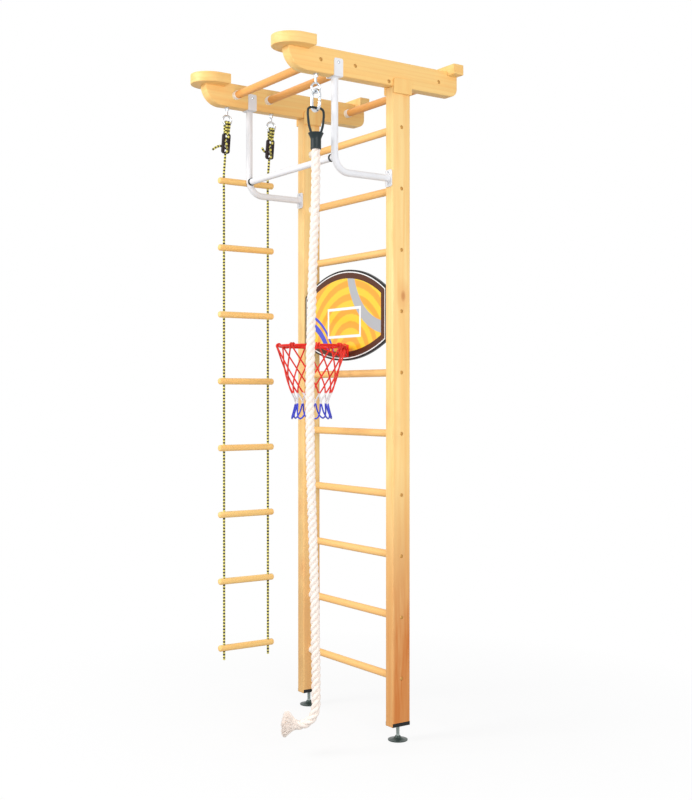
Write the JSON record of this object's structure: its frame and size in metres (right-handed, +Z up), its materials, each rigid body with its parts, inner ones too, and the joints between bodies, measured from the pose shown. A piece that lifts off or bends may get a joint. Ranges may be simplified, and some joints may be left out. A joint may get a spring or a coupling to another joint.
{
  "type": "swedish wall bars",
  "caption": "Wooden wall bars wedged between floor and ceiling by screw feet, with overhead bars, pull-up bar, climbing rope, rope ladder and a small basketball hoop.",
  "frame": {"origin": "on the floor, midway between the two feet", "axes": "+X along the rungs, from the rope ladder to the climbing rope; +Y from the user to the wall; +Z up"},
  "size_m": [0.745, 0.786, 2.482],
  "materials": {
    "post_wood": "clear satin lacquer on pine",
    "rung_wood": "clear satin lacquer on turned wood",
    "white_paint": "white powder coat",
    "white_plastic": "moulded white plastic",
    "foot_steel": "dark grey-green coated steel",
    "black_steel": "black coated steel",
    "bright_steel": "bright zinc plate",
    "screw_brass": "browned screw heads",
    "black_coat": "black plastic coating",
    "cream_rope": "twisted rope, three strands",
    "yellow_rope": "braided cord, yellow with dark flecks",
    "board_print": "printed and varnished fibreboard",
    "red_paint": "red gloss paint",
    "net_twine": "twine in red, white and blue"
  },
  "bodies": {
    "frame": {"left_post": "post_wood", "right_post": "post_wood", "left_beam": "post_wood", "right_beam": "post_wood", "left_outer_cheek": "post_wood", "left_inner_cheek": "post_wood", "right_outer_cheek": "post_wood", "right_inner_cheek": "post_wood", "left_front_pad": "post_wood", "left_rear_pad": "post_wood", "right_front_pad": "post_wood", "right_rear_pad": "post_wood", "left_foot_shoe": "black_steel", "right_foot_shoe": "black_steel", "left_pull_up_bracket": "white_paint", "right_pull_up_bracket": "white_paint", "pull_up_bar": "white_paint", "wall_rung_01": "rung_wood", "wall_rung_02": "rung_wood", "wall_rung_03": "rung_wood", "wall_rung_04": "rung_wood", "wall_rung_05": "rung_wood", "wall_rung_06": "rung_wood", "wall_rung_07": "rung_wood", "wall_rung_08": "rung_wood", "wall_rung_09": "rung_wood", "wall_rung_10": "rung_wood", "overhead_bar_front": "rung_wood", "overhead_bar_middle": "rung_wood", "overhead_bar_rear": "rung_wood", "rope_eye_bolt": "bright_steel", "ladder_eye_front": "bright_steel", "ladder_eye_rear": "bright_steel"},
    "left_foot": {"left_foot_screw": "foot_steel", "left_foot_base": "foot_steel"},
    "right_foot": {"right_foot_screw": "foot_steel", "right_foot_base": "foot_steel"},
    "swing_link": {"rope_link": "bright_steel"},
    "link_latch": {"link_gate": "bright_steel"},
    "hanging_rope": {"rope_loop": "black_coat", "rope_sleeve": "black_coat", "climbing_rope": "cream_rope"},
    "hanging_ladder": {"ladder_adjuster_front": "black_coat", "ladder_adjuster_rear": "black_coat", "ladder_rope_front": "yellow_rope", "ladder_rope_rear": "yellow_rope", "ladder_rung_1": "rung_wood", "ladder_rung_2": "rung_wood", "ladder_rung_3": "rung_wood", "ladder_rung_4": "rung_wood", "ladder_rung_5": "rung_wood", "ladder_rung_6": "rung_wood", "ladder_rung_7": "rung_wood", "ladder_rung_8": "rung_wood"},
    "hoop_set": {"hoop_board": "board_print", "left_rung_clamp": "black_steel", "right_rung_clamp": "black_steel", "hoop_ring": "red_paint", "hoop_net": "net_twine"}
  },
  "joints": [
    {"name": "left_foot_travel", "type": "slide", "parent": "frame", "child": "left_foot", "axis": [0, 0, 1], "range_m": [-0.03, 0.03]},
    {"name": "right_foot_travel", "type": "slide", "parent": "frame", "child": "right_foot", "axis": [0, 0, 1], "range_m": [-0.03, 0.03]},
    {"name": "rope_side_swing", "type": "hinge", "parent": "frame", "child": "swing_link", "pos_m": [0.3, -0.3555, 2.304], "axis": [0, 1, 0], "range_deg": [-45, 8]},
    {"name": "rope_swing", "type": "hinge", "parent": "swing_link", "child": "hanging_rope", "pos_m": [0.3, -0.3555, 2.2408], "axis": [1, 0, 0], "range_deg": [-50, 6]},
    {"name": "link_gate_open", "type": "hinge", "parent": "swing_link", "child": "link_latch", "pos_m": [0.3245, -0.3555, 2.2733], "axis": [0, 1, 0], "range_deg": [-25, 0], "stiffness_Nm_per_rad": 0.05, "springref_deg": 17.19},
    {"name": "ladder_swing", "type": "hinge", "parent": "frame", "child": "hanging_ladder", "pos_m": [-0.3, -0.277, 2.302], "axis": [0, 1, 0], "range_deg": [0, 55]},
    {"name": "hoop_tilt", "type": "hinge", "parent": "frame", "child": "hoop_set", "pos_m": [0, 0, 1.56], "axis": [1, 0, 0], "range_deg": [-20, 8]}
  ]
}
